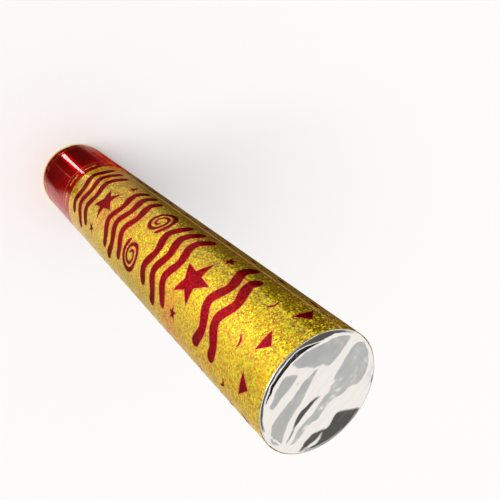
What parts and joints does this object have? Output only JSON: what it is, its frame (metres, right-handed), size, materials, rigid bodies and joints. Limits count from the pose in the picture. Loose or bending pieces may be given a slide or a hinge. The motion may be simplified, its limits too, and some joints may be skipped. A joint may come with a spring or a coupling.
{
  "type": "confetti popper",
  "caption": "Hand-twist confetti popper: a film-sealed paperboard barrel that turns on a short grip and opens an air valve through a pin and helical cam.",
  "frame": {"origin": "centre of the grip's end face, which the popper stands on", "axes": "+Z along the barrel from the grip to the muzzle; the label's lap seam lies about 213 degrees round from +X"},
  "size_m": [0.052, 0.052, 0.3],
  "materials": {
    "paperboard": "spiral-wound greyboard",
    "gold_film": "gold glitter film",
    "red_film": "red print on glitter film",
    "silver_film": "metallised film",
    "plug_plastic": "moulded polypropylene",
    "bottle_plastic": "blow-moulded polyethylene",
    "valve_plastic": "moulded nylon",
    "washer_plastic": "punched sheet",
    "plunger_plastic": "moulded acetal",
    "collar_plastic": "moulded polypropylene",
    "seal_rubber": "nitrile",
    "steel": "plain wire",
    "gold_paper": "tissue slips",
    "red_paper": "tissue slips",
    "silver_paper": "tissue slips",
    "green_paper": "tissue slips"
  },
  "bodies": {
    "grip": {"grip_sleeve": "paperboard", "grip_label": "red_film", "base_plug": "plug_plastic", "air_bottle": "bottle_plastic", "bottle_end": "bottle_plastic", "bottle_end_seal": "seal_rubber", "fill_plug": "seal_rubber", "neck_gasket": "seal_rubber", "valve_cage": "valve_plastic", "thrust_washer": "washer_plastic", "retaining_ring": "steel"},
    "valve": {"valve_plunger": "plunger_plastic", "plunger_seal": "seal_rubber", "cross_pin": "steel"},
    "barrel": {"barrel_tube": "paperboard", "barrel_label": "gold_film", "foil_seal": "silver_film", "drive_collar": "collar_plastic", "cam_sleeve": "plunger_plastic"},
    "charge": {"pusher_cup": "paperboard", "confetti_gold": "gold_paper", "confetti_red": "red_paper", "confetti_silver": "silver_paper", "confetti_green": "green_paper"}
  },
  "joints": [
    {"name": "barrel_twist", "type": "hinge", "parent": "grip", "child": "barrel", "pos_m": [0, 0, 0.067], "axis": [0, 0, 1], "range_deg": [0, 90]},
    {"name": "valve_lift", "type": "slide", "parent": "grip", "child": "valve", "axis": [0, 0, 1], "range_m": [0, 0.00705]},
    {"name": "charge_slide", "type": "slide", "parent": "barrel", "child": "charge", "axis": [0, 0, 1], "range_m": [0, 0.012]}
  ],
  "couplings": [
    {"joint": "valve_lift", "follows": "barrel_twist", "m_per_rad": 0.0044563}
  ]
}
